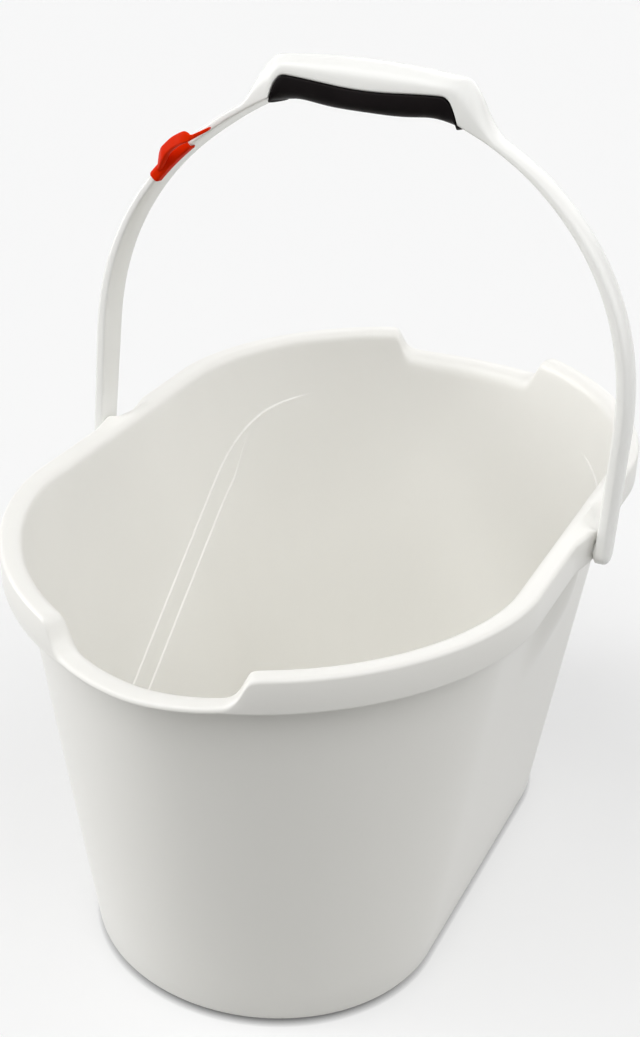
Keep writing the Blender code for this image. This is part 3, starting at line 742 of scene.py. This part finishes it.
def lugSection(path, share):
    x, across, low, high, thick = through(path, share)
    ahead, behind = (through(path, min(1.0, max(0.0, share + step))) for step in (clip["aimStep"], -clip["aimStep"]))
    run, turn = ahead[0] - behind[0], ahead[1] - behind[1]
    size = math.hypot(run, turn)
    side = (turn / size, -run / size)
    close = min(1.0, share / clip["lugEnds"][0], (1.0 - share) / clip["lugEnds"][1])
    shrink = mix(clip["lugTip"], 1.0, math.sqrt(max(0.0, 1 - (1 - close) ** 2)))     # rounded ends
    middle, tall, deep = (low + high) / 2, (high - low) / 2 * shrink, thick / 2 * shrink
    corner = min(clip["lugCorner"], tall * clip["cornerMost"], deep * clip["cornerMost"])
    ring = []
    for signA, signB, start in ((1, 1, 0.0), (-1, 1, 0.25), (-1, -1, 0.5), (1, -1, 0.75)):
        for step in steps(5):
            a = (start + step * 0.25) * math.tau
            out = signA * (deep - corner) + corner * math.cos(a)
            rise = signB * (tall - corner) + corner * math.sin(a)
            ring.append((x + side[0] * out, across + side[1] * out, middle + rise))
    return leaned(ring)


def makeClip():
    first, last = shoulderTurn(clip["start"]), shoulderTurn(clip["end"])
    shares = sorted(steps(14) + [clip["endSoft"], 1 - clip["endSoft"]])
    trims = {0.0: clip["endTrim"], 1.0: clip["endTrim"]}      # softened ends
    cover = [coverSection(mix(first, last, share), trims.get(share, 0.0)) for share in shares]
    item = looseObject("poleClip", skin(cover))
    path = lugPath()
    carve(item, looseObject("lug", skin([lugSection(path, share) for share in steps(90)])), "UNION")
    return finishPiece(item, finishes["clipRed"], "handle", "pole_clip", clip["sharpAngle"])


makeClip()


# Floor, light and camera

stage = {
    "floorSize": 12.0, "floorTone": (0.50, 0.50, 0.50), "floorRough": 0.9,
    "floorGlow": 0.41, "paintedShadeReach": 0.0045,          # paper glows evenly for camera rays; painted contact shade darkens it where something stands on it
    "floorBounce": (0.45, 0.45, 0.44),                  # tone of the floor as the pieces see it
    "skyTone": (1.0, 1.0, 1.0), "skyLevel": 0.02, "backdropLevel": 0.94,
    "lamps": (                                          # name, bearing from the front, height, spread, strength
        ("frontLamp", -30.0, 57.0, 50.0, 1.22), ("keyLamp", -62.0, 52.0, 14.0, 0.28),
        ("nearLamp", 45.0, 50.0, 50.0, 0.94), ("lowLamp", -75.0, 6.0, 50.0, 2.20),
        ("rightLamp", 90.0, 60.0, 50.0, 0.40), ("sideLamp", 120.0, 25.0, 50.0, 0.92),
        ("backLamp", 180.0, 25.0, 50.0, 0.48)),
}


def backdropRays(tree):                                 # 1 for rays that show the backdrop, 0 for those that light
    ray = addNode(tree, "ShaderNodeLightPath", (-700, 0))
    seen = addNode(tree, "ShaderNodeMath", (-500, 0), operation="MAXIMUM")
    shown = addNode(tree, "ShaderNodeMath", (-400, -150), operation="MAXIMUM")
    tree.links.new(ray.outputs["Is Camera Ray"], seen.inputs[0])
    tree.links.new(ray.outputs["Is Glossy Ray"], seen.inputs[1])
    tree.links.new(seen.outputs["Value"], shown.inputs[0])
    tree.links.new(ray.outputs["Is Transmission Ray"], shown.inputs[1])
    return shown.outputs["Value"]


def makeFloor():
    bm = bmesh.new()
    bmesh.ops.create_grid(bm, x_segments=4, y_segments=4, size=stage["floorSize"] / 2)
    floor = looseObject("studioFloor", bm)
    material = bpy.data.materials.new("studioPaper")
    material.use_nodes = True
    tree = material.node_tree
    shader = tree.nodes["Principled BSDF"]
    shader.inputs["Roughness"].default_value = stage["floorRough"]
    shader.inputs["Specular IOR Level"].default_value = 0.0
    shown = backdropRays(tree)
    tone = addNode(tree, "ShaderNodeMix", (-250, 0), data_type="RGBA")
    tone.inputs["A"].default_value = (*stage["floorBounce"], 1.0)
    tone.inputs["B"].default_value = (*stage["floorTone"], 1.0)
    glow = addNode(tree, "ShaderNodeMath", (-250, -250), operation="MULTIPLY")
    glow.inputs[1].default_value = stage["floorGlow"]
    # painted contact shade: ambient occlusion darkens the floor's tone and glow next to the pieces
    paintedContactShade = addNode(tree, "ShaderNodeAmbientOcclusion", (-120, 150), samples=8)
    paintedContactShade.inputs["Distance"].default_value = stage["paintedShadeReach"]
    glowUnderPaintedShade = addNode(tree, "ShaderNodeMath", (-120, -250), operation="MULTIPLY")
    tree.links.new(shown, tone.inputs["Factor"])
    tree.links.new(tone.outputs["Result"], paintedContactShade.inputs["Color"])
    tree.links.new(paintedContactShade.outputs["Color"], shader.inputs["Base Color"])
    tree.links.new(shown, glow.inputs[0])
    tree.links.new(glow.outputs["Value"], glowUnderPaintedShade.inputs[0])
    tree.links.new(paintedContactShade.outputs["AO"], glowUnderPaintedShade.inputs[1])
    tree.links.new(glowUnderPaintedShade.outputs["Value"], shader.inputs["Emission Strength"])
    shader.inputs["Emission Color"].default_value = (1.0, 1.0, 1.0, 1.0)
    floor.data.materials.append(material)


def makeLight():
    world = bpy.data.worlds.new("studioWorld")
    scene.world = world
    world.use_nodes = True
    sky = world.node_tree.nodes["Background"]
    sky.inputs["Color"].default_value = (*stage["skyTone"], 1.0)
    level = addNode(world.node_tree, "ShaderNodeMath", (-200, -100), operation="MULTIPLY_ADD")
    level.inputs[1].default_value = stage["backdropLevel"] - stage["skyLevel"]
    level.inputs[2].default_value = stage["skyLevel"]
    world.node_tree.links.new(backdropRays(world.node_tree), level.inputs[0])
    world.node_tree.links.new(level.outputs["Value"], sky.inputs["Strength"])
    for name, bearing, height, spread, strength in stage["lamps"]:
        lamp = bpy.data.lights.new(name, "SUN")
        lamp.angle = math.radians(spread)
        lamp.energy = strength
        item = bpy.data.objects.new(name, lamp)
        item.rotation_euler = (math.radians(90.0 - height), 0.0, math.radians(bearing))
        scene.collection.objects.link(item)


photoView = {
    "place": (0.30853, -0.68802, 0.61553), "azimuth": 24.86, "elevation": 28.44, "roll": 1.61,
    "focal": 1616.86, "imageHeight": 1037,              # focal length in pixels of the 640 x 1037 picture
    "sensor": 36.0, "nearest": 0.01, "farthest": 50.0,
}


def makeCamera():
    azimuth, elevation, roll = (math.radians(photoView[key]) for key in ("azimuth", "elevation", "roll"))
    back = Vector((math.sin(azimuth) * math.cos(elevation), -math.cos(azimuth) * math.cos(elevation),
                   math.sin(elevation)))
    right = Vector((math.cos(azimuth), math.sin(azimuth), 0.0))
    up = back.cross(right)
    axes = (right * math.cos(roll) + up * math.sin(roll), up * math.cos(roll) - right * math.sin(roll), back)
    lens = bpy.data.cameras.new("photoCamera")
    lens.sensor_fit, lens.sensor_width = "AUTO", photoView["sensor"]
    lens.lens = photoView["focal"] / photoView["imageHeight"] * lens.sensor_width
    lens.clip_start, lens.clip_end = photoView["nearest"], photoView["farthest"]
    camera = bpy.data.objects.new("photoCamera", lens)
    scene.collection.objects.link(camera)
    camera.matrix_world = Matrix.Translation(photoView["place"]) @ Matrix(axes).transposed().to_4x4()
    scene.camera = camera


makeFloor()
makeLight()
makeCamera()
scene.view_settings.view_transform = "Standard"
print("stage: floor, sky,", len(stage["lamps"]), "lamps and camera")

bpy.context.view_layer.update()
